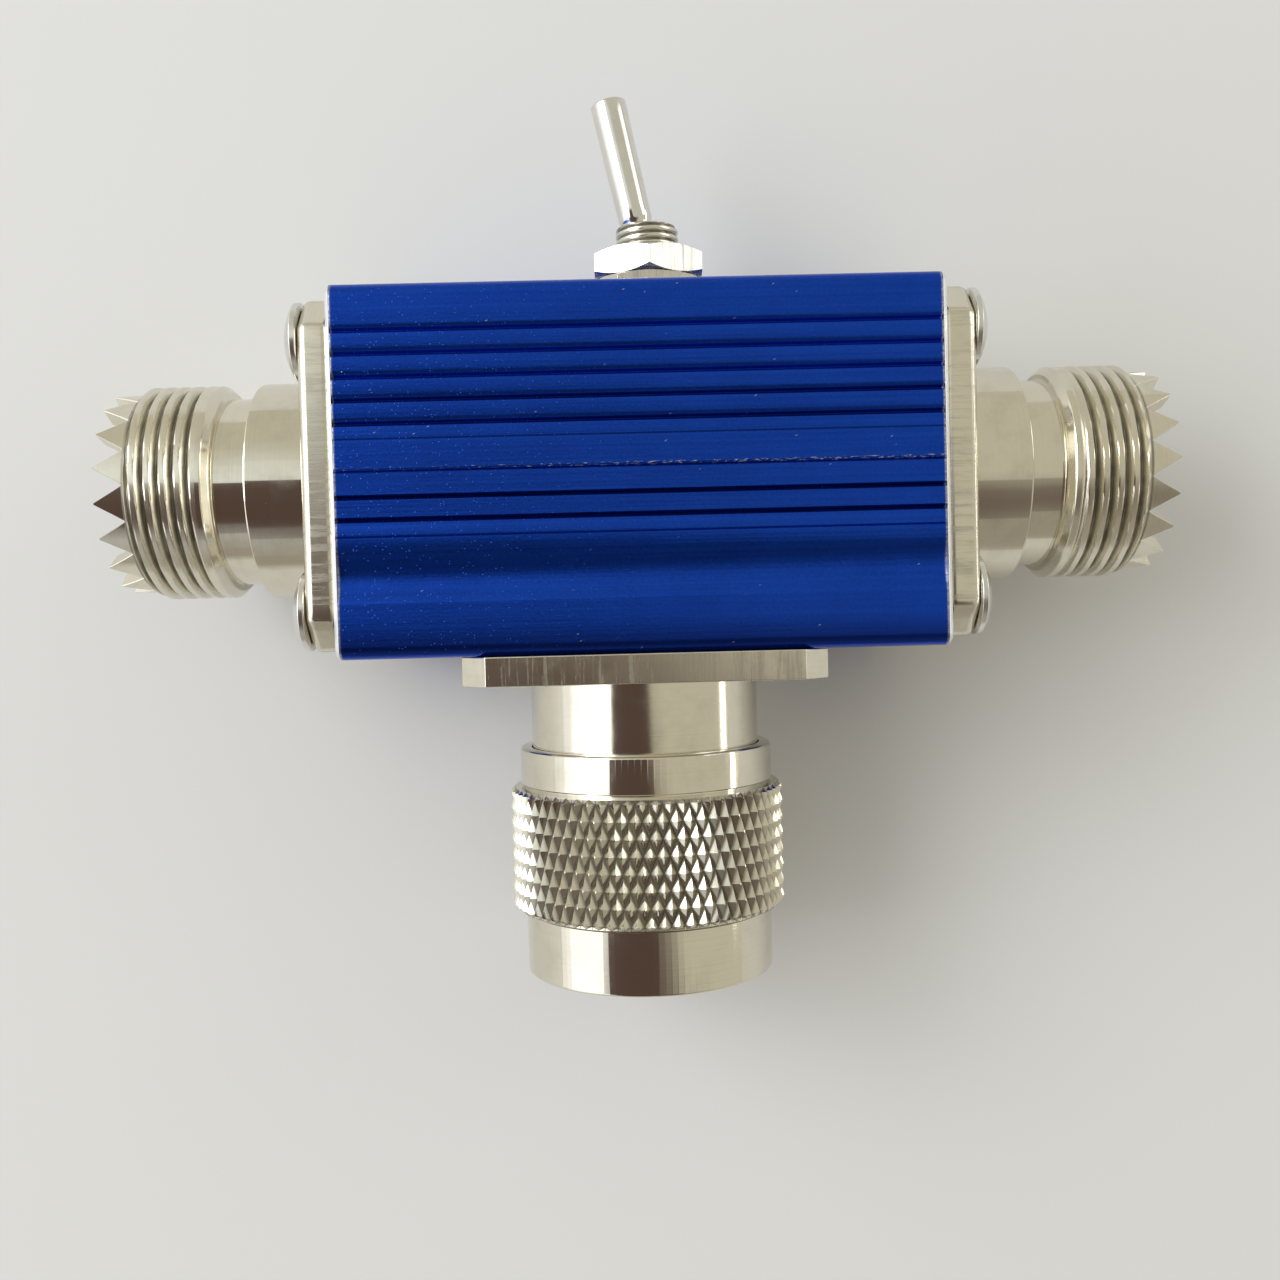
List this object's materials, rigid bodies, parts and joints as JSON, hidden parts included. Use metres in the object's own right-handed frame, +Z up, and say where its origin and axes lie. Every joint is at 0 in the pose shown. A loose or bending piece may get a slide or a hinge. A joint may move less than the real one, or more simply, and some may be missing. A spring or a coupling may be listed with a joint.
{
  "type": "coaxial antenna switch",
  "caption": "Two-way coaxial antenna switch: toggle on a square grooved case, threaded receptacle on each end, knurled plug on one side.",
  "frame": {"origin": "centre of the case's back face, on which the part lies, below the crossing of the receptacles' axis and the plug's axis", "axes": "+Z up out of the grooved front face, +X along the receptacles' common axis, +Y towards the toggle; the plug points to -Y"},
  "size_m": [0.0768, 0.067, 0.025],
  "materials": {
    "case_blue": "satin blue anodised extrusion",
    "nickel_brass": "bright nickel plate on turned brass",
    "lever_nickel": "polished nickel plate",
    "screw_steel": "nickel-plated steel",
    "white_ptfe": "white PTFE, turned",
    "gold_brass": "gold flash on brass",
    "silver_brass": "silver plate on brass",
    "red_phenolic": "moulded phenolic",
    "spring_steel": "bright spring steel",
    "tinned_wire": "tinned copper",
    "white_nylon": "natural nylon"
  },
  "bodies": {
    "case": {"case_lower_shell": "case_blue", "case_upper_shell": "case_blue", "centre_wire": "tinned_wire", "left_socket_contact": "gold_brass", "left_socket_insulator": "white_ptfe", "left_socket_screws": "screw_steel", "left_socket_shell": "nickel_brass", "left_wire": "tinned_wire", "plug_body": "nickel_brass", "plug_insulator": "white_ptfe", "plug_pin": "silver_brass", "plug_screws": "screw_steel", "right_socket_contact": "gold_brass", "right_socket_insulator": "white_ptfe", "right_socket_screws": "screw_steel", "right_socket_shell": "nickel_brass", "right_wire": "tinned_wire", "toggle_bushing": "lever_nickel", "toggle_centre_terminal": "silver_brass", "toggle_frame": "screw_steel", "toggle_housing": "red_phenolic", "toggle_left_terminal": "silver_brass", "toggle_lock_washer": "screw_steel", "toggle_lower_nut": "lever_nickel", "toggle_pivot_pin": "spring_steel", "toggle_right_terminal": "silver_brass", "toggle_upper_nut": "lever_nickel"},
    "lever": {"toggle_lever": "lever_nickel", "toggle_spring": "spring_steel"},
    "plunger": {"toggle_plunger": "white_nylon"},
    "rocker": {"toggle_rocker": "silver_brass"},
    "snap_ring": {"plug_snap_ring": "spring_steel"},
    "coupling_ring": {"plug_coupling_ring": "nickel_brass"}
  },
  "joints": [
    {"name": "lever_swing", "type": "hinge", "parent": "case", "child": "lever", "pos_m": [0.0011, 0.0159, 0.0125], "axis": [0, 0, -1], "range_deg": [0, 24]},
    {"name": "plunger_slide", "type": "slide", "parent": "lever", "child": "plunger", "axis": [-0.2079, 0.9781, 0], "range_m": [0, 0.0003], "stiffness_N_per_m": 400, "springref_m": -0.001, "deforming": ["toggle_spring"]},
    {"name": "rocker_tilt", "type": "hinge", "parent": "case", "child": "rocker", "pos_m": [0.0011, 0.0071, 0.0125], "axis": [0, 0, -1], "range_deg": [-16, 0]},
    {"name": "ring_spin", "type": "hinge", "parent": "case", "child": "snap_ring", "pos_m": [0, -0.0237, 0.0125], "axis": [0, -1, 0], "continuous": true},
    {"name": "ring_slide", "type": "slide", "parent": "snap_ring", "child": "coupling_ring", "axis": [0, 1, 0], "range_m": [0, 0.00515]}
  ],
  "couplings": [
    {"joint": "rocker_tilt", "follows": "lever_swing", "ratio": -0.66667}
  ]
}
